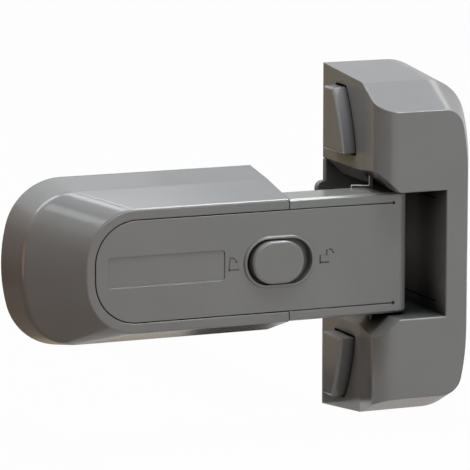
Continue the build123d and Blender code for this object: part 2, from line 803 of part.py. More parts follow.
nose_tip = pocket_left + nose_gap
bolt_end = knob_centre + bolt_tail
with BuildPart() as latch_bolt:
    with BuildSketch(wall_plane(bolt_back)):
        with Locations(((tongue_left + 2 * arm_wall + lock_travel + bolt_end) / 2, 0)):
            Rectangle(bolt_end - tongue_left - 2 * arm_wall - lock_travel, bolt_width)
        with Locations(((nose_tip + bolt_end) / 2, 0)):
            Rectangle(bolt_end - nose_tip, nose_width)
    extrude(amount=bolt_thickness)
    chamfer(latch_bolt.edges().filter_by(Axis.Y).group_by(Axis.X)[0], bolt_chamfer)
    with BuildSketch(wall_plane(bolt_back)):
        with Locations((knob_centre, 0)):
            Circle(screw_radius + pin_gap)
    extrude(amount=bolt_thickness, mode=Mode.SUBTRACT)
latch_bolt.part.label = "latch_bolt"

with BuildPart() as knob_screw:
    add(screw(knob_centre, 0, bolt_back - screw_head_height, bolt_thickness + knob_screw_length - seat_gap))
knob_screw.part.label = "knob_screw"

# A bent strip that clicks against the bolt's edge
with BuildPart() as detent_spring:
    with BuildSketch(wall_plane(bolt_back)):
        with BuildLine():
            strip = Polyline(
                (knob_centre - detent_half, detent_seat),
                (knob_centre - detent_half / 3, detent_seat),
                (knob_centre, bolt_width / 2 + moving_gap + detent_strip),
                (knob_centre + detent_half / 3, detent_seat),
                (knob_centre + detent_half, detent_seat),
            )
            offset(strip, amount=detent_strip / 2)
        make_face()
    extrude(amount=bolt_thickness)
detent_spring.part.label = "detent_spring"

# Base
keeper_screw_x = pocket_left + keeper_screw_reach
keeper_screw_places = [(keeper_screw_x, keeper_screw_half), (keeper_screw_x, -keeper_screw_half)]
floor_back = pocket_floor - base_wall
with BuildPart() as base_housing:
    loft([base_section(base_back, "back"), base_section(base_crease, "crease")], ruled=True)
    loft([base_section(base_crease, "crease"), base_section(arm_front, "front")], ruled=True)
    crease_edges = edges_at_depth(base_housing, base_crease).sort_by(Axis.X)[:-1]
    fillet(crease_edges, base_crease_blend)
    rim_edges = edges_at_depth(base_housing, arm_front).sort_by(Axis.X)[:-1]
    fillet(rim_edges, base_edge_radius)
    with BuildSketch(wall_plane(pocket_floor)) as pocket:
        with Locations(((pocket_left + base_front_right + pocket_half) / 2, 0)):
            Rectangle(base_front_right + pocket_half - pocket_left, 2 * pocket_half)
        fillet(pocket.vertices().group_by(Axis.X)[0], pocket_radius)
    extrude(amount=base_depth, mode=Mode.SUBTRACT)
    extrude(
        base_section(base_back, "crease", base_wall), amount=floor_back - base_back, mode=Mode.SUBTRACT
    )
    extrude(
        base_section(base_back, "back", plate_rim), amount=base_plate_thickness, mode=Mode.SUBTRACT
    )
    for place in base_screw_places:
        with BuildSketch(wall_plane(base_plate_front)):
            with Locations(place):
                Circle(boss_radius)
        extrude(amount=floor_back - base_plate_front)
        with BuildSketch(wall_plane(base_plate_front)):
            with Locations(place):
                Circle(screw_radius + pin_gap)
        extrude(amount=screw_length, mode=Mode.SUBTRACT)
    with BuildSketch(wall_plane(pocket_floor - keeper_foot_thickness)):
        with Locations((pocket_left - keeper_thickness + (keeper_foot + keeper_thickness) / 2, 0)):
            Rectangle(keeper_foot + keeper_thickness + 2 * seat_gap, 2 * keeper_half + 2 * seat_gap)
    extrude(amount=keeper_foot_thickness, mode=Mode.SUBTRACT)
    with BuildSketch(wall_plane(pocket_floor)):
        with Locations((pocket_left, 0)):
            Rectangle(2 * keeper_thickness + 2 * seat_gap, 2 * keeper_half + 2 * seat_gap)
    extrude(amount=bolt_front + moving_gap + keeper_lip + seat_gap - pocket_floor, mode=Mode.SUBTRACT)
    with BuildSketch(wall_plane(bolt_back - moving_gap)):
        with Locations((pocket_left - keeper_thickness, 0)):
            Rectangle(2 * keeper_thickness, nose_width + 2 * moving_gap)
    extrude(amount=bolt_thickness + 2 * moving_gap, mode=Mode.SUBTRACT)
    for place in keeper_screw_places:
        with BuildSketch(wall_plane(floor_back)):
            with Locations(place):
                Circle(boss_radius)
        extrude(amount=-keeper_boss)
        with BuildSketch(wall_plane(pocket_floor)):
            with Locations(place):
                Circle(keeper_screw_radius + pin_gap)
        extrude(amount=-keeper_screw_length - keeper_foot_thickness, mode=Mode.SUBTRACT)
base_housing.part.label = "base_housing"

with BuildPart() as base_keeper:
    with BuildSketch(wall_plane(pocket_floor - keeper_foot_thickness)):
        with Locations(((2 * pocket_left - keeper_thickness + keeper_foot) / 2, 0)):
            Rectangle(keeper_foot + keeper_thickness, 2 * keeper_half)
    extrude(amount=keeper_foot_thickness)
    with BuildSketch(wall_plane(pocket_floor)):
        with Locations((pocket_left - keeper_thickness / 2, 0)):
            Rectangle(keeper_thickness, 2 * keeper_half)
    extrude(amount=bolt_front + moving_gap + keeper_lip - pocket_floor)
    with BuildSketch(wall_plane(bolt_back - moving_gap)):
        with Locations((pocket_left - keeper_thickness / 2, 0)):
            Rectangle(2 * keeper_thickness, nose_width + 2 * moving_gap)
    extrude(amount=bolt_thickness + 2 * moving_gap, mode=Mode.SUBTRACT)
    for place in keeper_screw_places:
        with BuildSketch(wall_plane(pocket_floor)):
            with Locations(place):
                Circle(keeper_screw_head + seat_gap)
        extrude(amount=-keeper_head_height, mode=Mode.SUBTRACT)
        with BuildSketch(wall_plane(pocket_floor)):
            with Locations(place):
                Circle(keeper_screw_radius + pin_gap)
        extrude(amount=-keeper_foot_thickness, mode=Mode.SUBTRACT)
base_keeper.part.label = "base_keeper"

with BuildPart() as keeper_screws:
    for place in keeper_screw_places:
        with BuildSketch(wall_plane(pocket_floor)):
            with Locations(place):
                Circle(keeper_screw_head)
        extrude(amount=-keeper_head_height)
        with BuildSketch(wall_plane(pocket_floor - keeper_head_height)):
            with Locations(place):
                Circle(keeper_screw_radius)
        extrude(amount=-keeper_screw_length)
keeper_screws.part.label = "keeper_screws"

with BuildPart() as base_back_plate:
    extrude(base_section(base_back, "back", plate_rim + seat_gap), amount=base_plate_thickness)
    extrude(
        base_section(base_back, "back", plate_rim + pad_margin),
        amount=pad_thickness - pad_proud,
        mode=Mode.SUBTRACT,
    )
    for place in base_screw_places:
        with BuildSketch(wall_plane(base_back)):
            with Locations(place):
                Circle(screw_head_radius + seat_gap)
        extrude(amount=pad_thickness - pad_proud + screw_head_height, mode=Mode.SUBTRACT)
        with BuildSketch(wall_plane(base_back)):
            with Locations(place):
                Circle(screw_radius + seat_gap)
        extrude(amount=base_plate_thickness, mode=Mode.SUBTRACT)
base_back_plate.part.label = "base_back_plate"

with BuildPart() as base_screws:
    for place in base_screw_places:
        add(screw(*place, base_back + pad_thickness - pad_proud, base_screw_length))
base_screws.part.label = "base_screws"

with BuildPart() as base_adhesive_pad:
    extrude(base_section(base_surface, "back", plate_rim + pad_margin + seat_gap), amount=pad_thickness)
base_adhesive_pad.part.label = "base_adhesive_pad"

for piece in (
    bracket_housing,
    bracket_back_plate,
    bracket_adhesive_pad,
    upper_release_button,
    lower_release_button,
    upper_button_spring,
    lower_button_spring,
    hinge_pin,
    hinge_spring,
    arm_front_shell,
    arm_back_cover,
    arm_screws,
    slide_knob,
    latch_bolt,
    knob_screw,
    detent_spring,
    base_housing,
    base_keeper,
    keeper_screws,
    base_back_plate,
    base_screws,
    base_adhesive_pad,
):
    export_step(piece.part, "parts/" + piece.part.label + ".step")
    print(piece.part.label, round(piece.part.volume), piece.part.is_valid, len(piece.part.solids()))
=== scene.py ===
import json
import math

import bmesh
import bpy
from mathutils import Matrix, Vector


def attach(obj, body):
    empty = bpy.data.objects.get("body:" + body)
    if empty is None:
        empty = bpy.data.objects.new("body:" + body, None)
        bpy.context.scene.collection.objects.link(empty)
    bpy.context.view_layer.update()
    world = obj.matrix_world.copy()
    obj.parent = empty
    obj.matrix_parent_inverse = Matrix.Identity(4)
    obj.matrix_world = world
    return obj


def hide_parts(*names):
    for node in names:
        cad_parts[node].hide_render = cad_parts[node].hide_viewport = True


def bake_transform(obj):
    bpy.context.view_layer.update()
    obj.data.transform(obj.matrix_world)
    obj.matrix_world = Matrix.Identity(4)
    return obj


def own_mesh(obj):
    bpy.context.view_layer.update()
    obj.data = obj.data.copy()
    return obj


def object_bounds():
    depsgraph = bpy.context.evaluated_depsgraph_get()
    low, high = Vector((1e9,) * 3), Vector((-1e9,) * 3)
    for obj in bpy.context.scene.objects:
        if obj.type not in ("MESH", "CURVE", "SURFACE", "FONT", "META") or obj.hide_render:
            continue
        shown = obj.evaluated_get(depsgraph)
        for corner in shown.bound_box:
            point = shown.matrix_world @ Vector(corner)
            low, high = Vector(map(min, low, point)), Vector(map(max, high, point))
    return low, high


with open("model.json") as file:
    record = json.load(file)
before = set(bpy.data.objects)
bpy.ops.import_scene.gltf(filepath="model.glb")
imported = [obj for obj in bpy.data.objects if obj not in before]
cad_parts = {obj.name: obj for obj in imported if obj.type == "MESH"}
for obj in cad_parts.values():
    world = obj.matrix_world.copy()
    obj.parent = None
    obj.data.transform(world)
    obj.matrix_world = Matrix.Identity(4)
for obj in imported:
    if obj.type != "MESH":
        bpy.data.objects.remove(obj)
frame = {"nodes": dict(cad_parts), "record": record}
nodes = frame["nodes"]

MM = 0.001


cad_low, cad_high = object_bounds()


# Materials: noises in waves per metre, the depths of their relief and radii in metres

mottle_waves = 60.0
grain_waves = 5200.0
cell_waves = 2600.0
grain_depth = 0.000003
drawing_depth = 0.000006
cell_depth = 0.00005
# Ambient-occlusion shares between which the painted gap shade goes from darkest to none
shut_in = 0.3
open_to_sky = 0.75
plastic_specular = 0.5
grain_gloss = 0.03


def new_material(name):
    """An empty node material and its tree, with a Principled shader wired to the output."""
    material = bpy.data.materials.new(name)
    material.use_nodes = True
    tree = material.node_tree
    tree.nodes.clear()
    output = tree.nodes.new("ShaderNodeOutputMaterial")
    output.name = "Material Output"
    shader = tree.nodes.new("ShaderNodeBsdfPrincipled")
    tree.links.new(shader.outputs["BSDF"], output.inputs["Surface"])
    return material, tree, shader


def noise(tree, scale, detail=2.0, stretch=(1.0, 1.0, 1.0)):
    """A noise on the piece's own coordinates, in metres; scale is waves per metre."""
    place = tree.nodes.new("ShaderNodeTexCoord")
    mapping = tree.nodes.new("ShaderNodeMapping")
    mapping.inputs["Scale"].default_value = stretch
    texture = tree.nodes.new("ShaderNodeTexNoise")
    texture.inputs["Scale"].default_value = scale
    texture.inputs["Detail"].default_value = detail
    tree.links.new(place.outputs["Object"], mapping.inputs["Vector"])
    tree.links.new(mapping.outputs["Vector"], texture.inputs["Vector"])
    return texture.outputs["Fac"]


def ramp(tree, value, low, high, start=0.3, end=0.7):
    """Maps a value to a range of numbers or colours."""
    stops = tree.nodes.new("ShaderNodeValToRGB")
    stops.color_ramp.elements[0].position = start
    stops.color_ramp.elements[1].position = end
    stops.color_ramp.elements[0].color = (*low, 1.0)
    stops.color_ramp.elements[1].color = (*high, 1.0)
    tree.links.new(value, stops.inputs["Fac"])
    return stops.outputs["Color"]


def bump(tree, shader, value, depth, edge=0.0):
    """Raises the surface by a value and softens its edges by a radius; both are in metres."""
    relief = tree.nodes.new("ShaderNodeBump")
    if edge:
        soft = tree.nodes.new("ShaderNodeBevel")
        soft.samples = 6
        soft.inputs["Radius"].default_value = edge
        tree.links.new(soft.outputs["Normal"], relief.inputs["Normal"])
    relief.inputs["Strength"].default_value = 1.0
    relief.inputs["Distance"].default_value = depth
    tree.links.new(value, relief.inputs["Height"])
    tree.links.new(relief.outputs["Normal"], shader.inputs["Normal"])


def painted_gap_shade(tree, reach, darkest):
    """Painted shade: 1 in the open, less where other surfaces shut a point in within a reach, as in gaps and
    windows.
    """
    open_sky = tree.nodes.new("ShaderNodeAmbientOcclusion")
    open_sky.samples = 16
    open_sky.inputs["Distance"].default_value = reach
    return ramp(tree, open_sky.outputs["AO"], (darkest,) * 3, (1.0,) * 3, shut_in, open_to_sky)


def product(tree, first, second, factor=1.0):
    """Two colours multiplied by each other and by a factor."""
    node = tree.nodes.new("ShaderNodeVectorMath")
    node.operation = "MULTIPLY"
    tree.links.new(first, node.inputs[0])
    tree.links.new(second, node.inputs[1])
    if factor == 1.0:
        return node.outputs["Vector"]
    scale = tree.nodes.new("ShaderNodeVectorMath")
    scale.operation = "SCALE"
    scale.inputs["Scale"].default_value = factor
    tree.links.new(node.outputs["Vector"], scale.inputs[0])
    return scale.outputs["Vector"]


def shade(colour, factor):
    """A colour made lighter or darker."""
    return tuple(channel * factor for channel in colour)


def moulded_plastic(name, colour, roughness, gap_reach=0.02, darkest=0.05, edge=0.0005):
    """Satin grey plastic with a fine spark-eroded grain and a faint flow mottling.

    Where other surfaces within gap_reach shut it in, its colour and specular level darken, at most to the
    share darkest: painted shade in gaps and windows.
    """
    material, tree, shader = new_material(name)
    broad = noise(tree, mottle_waves, 3.0)
    fine = noise(tree, grain_waves, 2.0)
    tint = ramp(tree, broad, shade(colour, 0.97), shade(colour, 1.03))
    painted_shade = painted_gap_shade(tree, gap_reach, darkest)
    # Painted shade: the base colour and the specular level darken where the piece is shut in
    tree.links.new(product(tree, tint, painted_shade), shader.inputs["Base Color"])
    tree.links.new(product(tree, painted_shade, painted_shade, plastic_specular), shader.inputs["Specular IOR Level"])
    gloss = ramp(tree, fine, (roughness - grain_gloss,) * 3, (roughness + grain_gloss,) * 3)
    tree.links.new(gloss, shader.inputs["Roughness"])
    bump(tree, shader, fine, grain_depth, edge)
    return material


def drawn_steel(name, colour, roughness, stretch):
    """Bright steel with fine drawing lines along one direction."""
    material, tree, shader = new_material(name)
    lines = noise(tree, grain_waves, 3.0, stretch)
    tint = ramp(tree, lines, shade(colour, 0.82), shade(colour, 1.08))
    tree.links.new(tint, shader.inputs["Base Color"])
    gloss = ramp(tree, lines, (roughness - 0.05,) * 3, (roughness + 0.1,) * 3)
    tree.links.new(gloss, shader.inputs["Roughness"])
    shader.inputs["Metallic"].default_value = 1.0
    bump(tree, shader, lines, drawing_depth)
    return material


def closed_cell_foam(name, colour):
    """Matte foam with small cells."""
    material, tree, shader = new_material(name)
    place = tree.nodes.new("ShaderNodeTexCoord")
    cells = tree.nodes.new("ShaderNodeTexVoronoi")
    cells.inputs["Scale"].default_value = cell_waves
    tree.links.new(place.outputs["Object"], cells.inputs["Vector"])
    tint = ramp(tree, cells.outputs["Distance"], shade(colour, 0.82), colour, 0.1, 0.6)
    tree.links.new(tint, shader.inputs["Base Color"])
    shader.inputs["Roughness"].default_value = 0.9
    shader.inputs["Specular IOR Level"].default_value = 0.2
    bump(tree, shader, cells.outputs["Distance"], cell_depth)
    return material


housing_grey = (0.195, 0.2, 0.203)
# After the roughness: the reach and the darkest share of the painted gap shade, then the edge softening
# radius
housing_plastic = moulded_plastic("housing_plastic", housing_grey, 0.17)
arm_plastic = moulded_plastic("arm_plastic", housing_grey, 0.22, 0.003, 0.5, 0.0003)
button_plastic = moulded_plastic("button_plastic", housing_grey, 0.2, 0.004, 0.1, 0.0002)
knob_plastic = moulded_plastic("knob_plastic", housing_grey, 0.22, 0.002, 0.8, 0.0003)
plate_plastic = moulded_plastic("plate_plastic", shade(housing_grey, 0.85), 0.5)
pad_foam = closed_cell_foam("pad_foam", (0.62, 0.62, 0.6))
# The pin's near-black colour is partly painted shade: the steel is darkened to the tone of the shade under
# the jaw and of the dark surroundings it mirrors
pin_steel = drawn_steel("pin_steel", (0.06, 0.058, 0.056), 0.3, (1.0, 1.0, 0.1))
wire_steel = drawn_steel("wire_steel", (0.6, 0.6, 0.6), 0.3, (1.0, 1.0, 1.0))
screw_zinc = drawn_steel("screw_zinc", (0.66, 0.66, 0.66), 0.3, (1.0, 1.0, 1.0))
stamped_steel = drawn_steel("stamped_steel", (0.6, 0.6, 0.6), 0.3, (0.08, 1.0, 1.0))

finishes = {
    "housing_plastic": housing_plastic,
    "arm_plastic": arm_plastic,
    "button_plastic": button_plastic,
    "knob_plastic": knob_plastic,
    "plate_plastic": plate_plastic,
    "adhesive_foam": pad_foam,
    "pin_steel": pin_steel,
    "spring_steel": wire_steel,
    "screw_steel": screw_zinc,
    "bolt_steel": stamped_steel,
    "keeper_steel": stamped_steel,
}
slot_of = {part["node"]: part["material_slot"] for part in frame["record"]["subparts"]}
for node_name, node in nodes.items():
    node.data.materials.clear()
    node.data.materials.append(finishes[slot_of[node_name]])


# Padlock signs beside the thumb slide, their engraved grooves drawn as painted shade: dark strokes where the
# grooves show shade, faint ones where they face the light

arm_face = -35.55
sign_stroke = 0.48
faint_stroke = 0.6 * sign_stroke
sign_proud = 0.015
# Painted shade of the engraved grooves: dark, paler and faint strokes
sign_groove_shade = moulded_plastic("sign_groove_shade", (0.03, 0.03, 0.03), 0.5)
sign_paler_groove_shade = moulded_plastic("sign_paler_groove_shade", (0.07, 0.07, 0.07), 0.5)
sign_faint_groove_shade = moulded_plastic("sign_faint_groove_shade", (0.14, 0.141, 0.141), 0.4)


def flat_strokes(name, strokes, width, material):
    """Thin flat strokes on the arm's front; the points are X and Z in millimetres."""
    points = []
    faces = []
    for stroke in strokes:
        path = [Vector(point) for point in stroke]
        first = len(points)
        for index, point in enumerate(path):
            before = path[max(index - 1, 0)]
            after = path[min(index + 1, len(path) - 1)]
            along = (after - before).normalized()
            side = Vector((-along.y, along.x)) * width / 2
            reach = along * width / 2
            if index == 0:
                point = point - reach
            elif index == len(path) - 1:
                point = point + reach
            for corner in (point + side, point - side):
                points.append(Vector((corner.x, arm_face - sign_proud, corner.y)) * MM)
        for index in range(len(path) - 1):
            start = first + 2 * index
            faces.append((start, start + 1, start + 3, start + 2))
    mesh = bpy.data.meshes.new(name)
    mesh.from_pydata(points, [], faces)
    mesh.materials.append(material)
    piece = bpy.data.objects.new(name, mesh)
    bpy.context.scene.collection.objects.link(piece)
    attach(piece, "arm")


flat_strokes(
    "locked_sign",
    [
        [(-45.2, 1.79), (-45.49, 0.72), (-45.61, -1.44)],
        [(-45.44, -1.46), (-42.88, -1.47)],
        [(-44.48, 1.79), (-43.93, 1.51), (-43.49, 0.75)],
    ],
    sign_stroke,
    sign_paler_groove_shade,
)
flat_strokes(
    "unlocked_sign",
    [
        [(-18.95, 0.72), (-18.97, -1.17)],
        [(-18.8, -1.17), (-16.54, -1.17)],
        [(-17.0, 2.0), (-17.06, 0.95)],
        [(-16.12, 2.32), (-15.52, 2.14), (-15.04, 1.36)],
    ],
    sign_stroke,
    sign_groove_shade,
)
flat_strokes(
    "faint_sign_grooves",
    [
        [(-45.1, 1.9), (-44.7, 1.95)],
        [(-45.1, 0.61), (-43.0, 0.6), (-42.88, -1.1)],
        [(-18.5, 0.73), (-16.67, 0.73), (-16.54, -0.8)],
        [(-16.95, 2.25), (-16.4, 2.36)],
    ],
    faint_stroke,
    sign_faint_groove_shade,
)


# Cross-head screws: the head's parts and the recess as shares of the head's height and radii

rim_share = 0.34
rim_taper = 0.86
tip_taper = 0.8
recess_share = 1.5
head_sides = 40
shank_sides = 24


def add_socket(tree, name, kind, way="INPUT"):
    """A named socket of a node group; returns its identifier."""
    return tree.interface.new_socket(name=name, in_out=way, socket_type=kind).identifier


def screw_tree(material):
    """Node group that sets a screw with a cross recess on each point, its head's outer face towards -Z."""
    tree = bpy.data.node_groups.new("cross_head_screws", "GeometryNodeTree")
    add_socket(tree, "Places", "NodeSocketGeometry")
    sizes = ("Head Radius", "Head Height", "Shank Radius", "Shank Length", "Recess Length", "Recess Width")
    keys = {name: add_socket(tree, name, "NodeSocketFloat") for name in sizes}
    keys["Turn"] = add_socket(tree, "Turn", "NodeSocketRotation")
    add_socket(tree, "Screws", "NodeSocketGeometry", "OUTPUT")
    given = tree.nodes.new("NodeGroupInput").outputs
    result = tree.nodes.new("NodeGroupOutput")

    def link(source, target):
        tree.links.new(source, target)

    def scaled(value, factor):
        node = tree.nodes.new("ShaderNodeMath")
        node.operation = "MULTIPLY"
        node.inputs[1].default_value = factor
        link(value, node.inputs[0])
        return node.outputs["Value"]

    def vector(x=None, y=None, z=None):
        node = tree.nodes.new("ShaderNodeCombineXYZ")
        for source, axis in ((x, "X"), (y, "Y"), (z, "Z")):
            if source:
                link(source, node.inputs[axis])
        return node.outputs["Vector"]

    def moved(geometry, shift):
        node = tree.nodes.new("GeometryNodeTransform")
        link(geometry, node.inputs["Geometry"])
        link(shift, node.inputs["Translation"])
        return node.outputs["Geometry"]

    def turned_solid(top_radius, bottom_radius, height, sides, foot):
        node = tree.nodes.new("GeometryNodeMeshCone")
        node.inputs["Vertices"].default_value = sides
        link(top_radius, node.inputs["Radius Top"])
        link(bottom_radius, node.inputs["Radius Bottom"])
        link(height, node.inputs["Depth"])
        return moved(node.outputs["Mesh"], vector(z=foot)) if foot else node.outputs["Mesh"]

    def boolean(operation, first, others):
        node = tree.nodes.new("GeometryNodeMeshBoolean")
        node.operation = operation
        node.solver = "EXACT"
        if operation == "DIFFERENCE":
            link(first, node.inputs["Mesh 1"])
        else:
            link(first, node.inputs["Mesh 2"])
        for other in others:
            link(other, node.inputs["Mesh 2"])
        return node.outputs["Mesh"]

    head_radius = given["Head Radius"]
    rim = scaled(given["Head Height"], rim_share)
    barrel = scaled(given["Head Height"], 1 - rim_share)
    dome = turned_solid(head_radius, scaled(head_radius, rim_taper), rim, head_sides, None)
    drum = turned_solid(head_radius, head_radius, barrel, head_sides, rim)
    tip = scaled(given["Shank Radius"], tip_taper)
    shank = turned_solid(tip, given["Shank Radius"], given["Shank Length"], shank_sides, given["Head Height"])
    solid = boolean("UNION", dome, [drum, shank])
    depth = scaled(given["Head Height"], recess_share)
    slots = []
    for across in (False, True):
        node = tree.nodes.new("GeometryNodeMeshCube")
        long_way, short_way = given["Recess Length"], given["Recess Width"]
        size = vector(short_way, long_way, depth) if across else vector(long_way, short_way, depth)
        link(size, node.inputs["Size"])
        slots.append(node.outputs["Mesh"])
    cut = boolean("DIFFERENCE", solid, slots)
    spread = tree.nodes.new("GeometryNodeInstanceOnPoints")
    link(given["Places"], spread.inputs["Points"])
    link(cut, spread.inputs["Instance"])
    link(given["Turn"], spread.inputs["Rotation"])
    real = tree.nodes.new("GeometryNodeRealizeInstances")
    link(spread.outputs["Instances"], real.inputs["Geometry"])
    finish = tree.nodes.new("GeometryNodeSetMaterial")
    finish.inputs["Material"].default_value = material
    link(real.outputs["Geometry"], finish.inputs["Geometry"])
    link(finish.outputs["Geometry"], result.inputs["Screws"])
    return tree, keys


screws, screw_keys = screw_tree(screw_zinc)


def set_screws(name, body, node, places, sizes, turn):
    """Screws with the outer faces of their heads at some places, in millimetres."""
    points = bpy.data.meshes.new(name + "_places")
    points.from_pydata([Vector(place) * MM for place in places], [], [])
    holder = bpy.data.objects.new(name + "_places", points)
    bpy.context.scene.collection.objects.link(holder)
    modifier = holder.modifiers.new("screws", "NODES")
    modifier.node_group = screws
    for size_name, value in sizes.items():
        modifier[screw_keys[size_name]] = value * MM
    modifier[screw_keys["Turn"]] = turn
    evaluated = holder.evaluated_get(bpy.context.evaluated_depsgraph_get())
    mesh = bpy.data.meshes.new_from_object(evaluated)
    mesh.name = name
    bpy.data.objects.remove(holder)
    piece = bpy.data.objects.new(name, mesh)
    bpy.context.scene.collection.objects.link(piece)
    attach(piece, body)
    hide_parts(node)


arm_screw_sizes = {
    "Head Radius": 2.5,
    "Head Height": 0.9,
    "Shank Radius": 1.3,
    "Shank Length": 6.0,
    "Recess Length": 2.6,
    "Recess Width": 0.6,
}
keeper_screw_sizes = {
    "Head Radius": 1.7,
    "Head Height": 0.7,
    "Shank Radius": 0.9,
    "Shank Length": 4.5,
    "Recess Length": 1.8,
    "Recess Width": 0.45,
}
arm_screw_back = -23.45
arm_screw_places = ((-73.5, 8.4), (-73.5, -8.4), (-13.0, 10.5), (-13.0, -10.5))
keeper_screw_front = -23.15
keeper_screw_places = ((-78.2, 3.2), (-78.2, -3.2))
set_screws(
    "arm_cross_head_screws",
    "arm",
    "arm_screws",
    [(x, arm_screw_back, z) for x, z in arm_screw_places],
    arm_screw_sizes,
    (math.radians(90), 0, 0),
)
set_screws(
    "keeper_cross_head_screws",
    "mounted_parts",
    "keeper_screws",
    [(x, keeper_screw_front, z) for x, z in keeper_screw_places],
    keeper_screw_sizes,
    (math.radians(-90), 0, 0),
)


# Springs: smooth copies of the springs' solids in their places; the button springs ride with the mounted
# parts

weld_distance = 0.001
sharp_angle = 40


def following_spring(name, node):
    """A welded, smooth-shaded copy of a spring's solid in the solid's place, which hides the solid."""
    shape = bmesh.new()
    shape.from_mesh(nodes[node].data)
    bmesh.ops.remove_doubles(shape, verts=shape.verts, dist=weld_distance * MM)
    mesh = bpy.data.meshes.new(name)
    shape.to_mesh(mesh)
    shape.free()
    mesh.materials.append(wire_steel)
    mesh.shade_smooth()
    mesh.set_sharp_from_angle(angle=math.radians(sharp_angle))
    piece = bpy.data.objects.new(name, mesh)
    bpy.context.scene.collection.objects.link(piece)
    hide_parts(node)
    return piece


for side in ("upper", "lower"):
    spring_node = side + "_button_spring"
    spring = following_spring(side + "_pressed_spring", spring_node)
    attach(spring, "mounted_parts")
    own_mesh(spring)

twisted_spring = following_spring("twisted_spring", "hinge_spring")
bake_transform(twisted_spring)


# Stage and light

def background_rays(tree):
    """1 for the rays that show the white background: seen straight, mirrored or through a clear piece."""
    rays = tree.nodes.new("ShaderNodeLightPath")
    total = rays.outputs["Is Camera Ray"]
    for kind in ("Is Glossy Ray", "Is Transmission Ray"):
        either = tree.nodes.new("ShaderNodeMath")
        either.operation = "MAXIMUM"
        tree.links.new(total, either.inputs[0])
        tree.links.new(rays.outputs[kind], either.inputs[1])
        total = either.outputs["Value"]
    return total


def floor_plane(name, height, reach, colour, whiteness):
    """A pale floor that shows as white apart from the object's shadow."""
    material, tree, shader = new_material(name)
    shader.inputs["Base Color"].default_value = (*colour, 1.0)
    shader.inputs["Roughness"].default_value = 0.8
    shader.inputs["Specular IOR Level"].default_value = 0.0
    glow = tree.nodes.new("ShaderNodeEmission")
    glow.inputs["Color"].default_value = (1.0, 1.0, 1.0, 1.0)
    glow.inputs["Strength"].default_value = 1.0
    share = tree.nodes.new("ShaderNodeMath")
    share.operation = "MULTIPLY"
    share.inputs[1].default_value = whiteness
    mix = tree.nodes.new("ShaderNodeMixShader")
    tree.links.new(background_rays(tree), share.inputs[0])
    tree.links.new(share.outputs["Value"], mix.inputs["Fac"])
    tree.links.new(shader.outputs["BSDF"], mix.inputs[1])
    tree.links.new(glow.outputs["Emission"], mix.inputs[2])
    tree.links.new(mix.outputs["Shader"], tree.nodes["Material Output"].inputs["Surface"])
    mesh = bpy.data.meshes.new(name)
    corners = [(-reach, -reach), (reach, -reach), (reach, reach), (-reach, reach)]
    mesh.from_pydata([(x, y, height) for x, y in corners], [], [(0, 1, 2, 3)])
    mesh.materials.append(material)
    floor = bpy.data.objects.new(name, mesh)
    floor.visible_shadow = False
    bpy.context.scene.collection.objects.link(floor)


def unseen_glow(name, points, faces, colour_from, lights=True):
    """A shape beside the object that only its reflections and soft light see."""
    material, tree, shader = new_material(name)
    tree.nodes.remove(shader)
    glow = tree.nodes.new("ShaderNodeEmission")
    colour_from(tree, glow)
    tree.links.new(glow.outputs["Emission"], tree.nodes["Material Output"].inputs["Surface"])
    mesh = bpy.data.meshes.new(name)
    mesh.from_pydata(points, [], faces)
    mesh.materials.append(material)
    shape = bpy.data.objects.new(name, mesh)
    shape.visible_camera = False
    shape.visible_shadow = False
    shape.visible_diffuse = lights
    bpy.context.scene.collection.objects.link(shape)


def plain_glow(colour, strength=1.0):
    """Gives a glow one colour and strength."""

    def colour_from(tree, glow):
        glow.inputs["Color"].default_value = (*colour, 1.0)
        glow.inputs["Strength"].default_value = strength

    return colour_from


def curved_screen(name, centre, radius, start, end, foot, top, low_colour, high_colour, lights=True):
    """An upright curved screen, from a foot's height to a top's, whose colour changes upwards."""

    def colour_from(tree, glow):
        place = tree.nodes.new("ShaderNodeTexCoord")
        split = tree.nodes.new("ShaderNodeSeparateXYZ")
        rise = tree.nodes.new("ShaderNodeMapRange")
        rise.inputs["From Min"].default_value = foot
        rise.inputs["From Max"].default_value = top
        tree.links.new(place.outputs["Object"], split.inputs["Vector"])
        tree.links.new(split.outputs["Z"], rise.inputs["Value"])
        tint = ramp(tree, rise.outputs["Result"], low_colour, high_colour, 0.2, 0.95)
        tree.links.new(tint, glow.inputs["Color"])

    steps = 24
    points = []
    faces = []
    for step in range(steps + 1):
        angle = math.radians(start + (end - start) * step / steps)
        x = centre.x + radius * math.cos(angle)
        y = centre.y + radius * math.sin(angle)
        points += [(x, y, foot), (x, y, top)]
    for step in range(steps):
        corner = 2 * step
        faces.append((corner, corner + 2, corner + 3, corner + 1))
    unseen_glow(name, points, faces, colour_from, lights)


def flat_card(name, low, high, height, colour, strength=1.0, lights=True):
    """A level rectangle between two corners; without lights it is only mirrored."""
    corners = (low, (high[0], low[1]), high, (low[0], high[1]))
    points = [(x, y, height) for x, y in corners]
    unseen_glow(name, points, [(0, 1, 2, 3)], plain_glow(colour, strength), lights)


def softbox(name, place, target, size, power, mirrored=True):
    """A rectangular area lamp that looks at a point."""
    lamp = bpy.data.lights.new(name, "AREA")
    lamp.shape = "RECTANGLE"
    lamp.size, lamp.size_y = size
    lamp.energy = power
    holder = bpy.data.objects.new(name, lamp)
    holder.location = place
    holder.visible_glossy = mirrored
    holder.rotation_euler = (Vector(target) - Vector(place)).to_track_quat("-Z", "Y").to_euler()
    bpy.context.scene.collection.objects.link(holder)


middle = (cad_low + cad_high) / 2
floor_gap = 0.0005
floor_height = cad_low.z - floor_gap
floor_plane("studio_floor", floor_height, reach=3.0, colour=(0.42, 0.39, 0.35), whiteness=0.98)

# Upright screens round the object give its left sides the photograph's brown tones

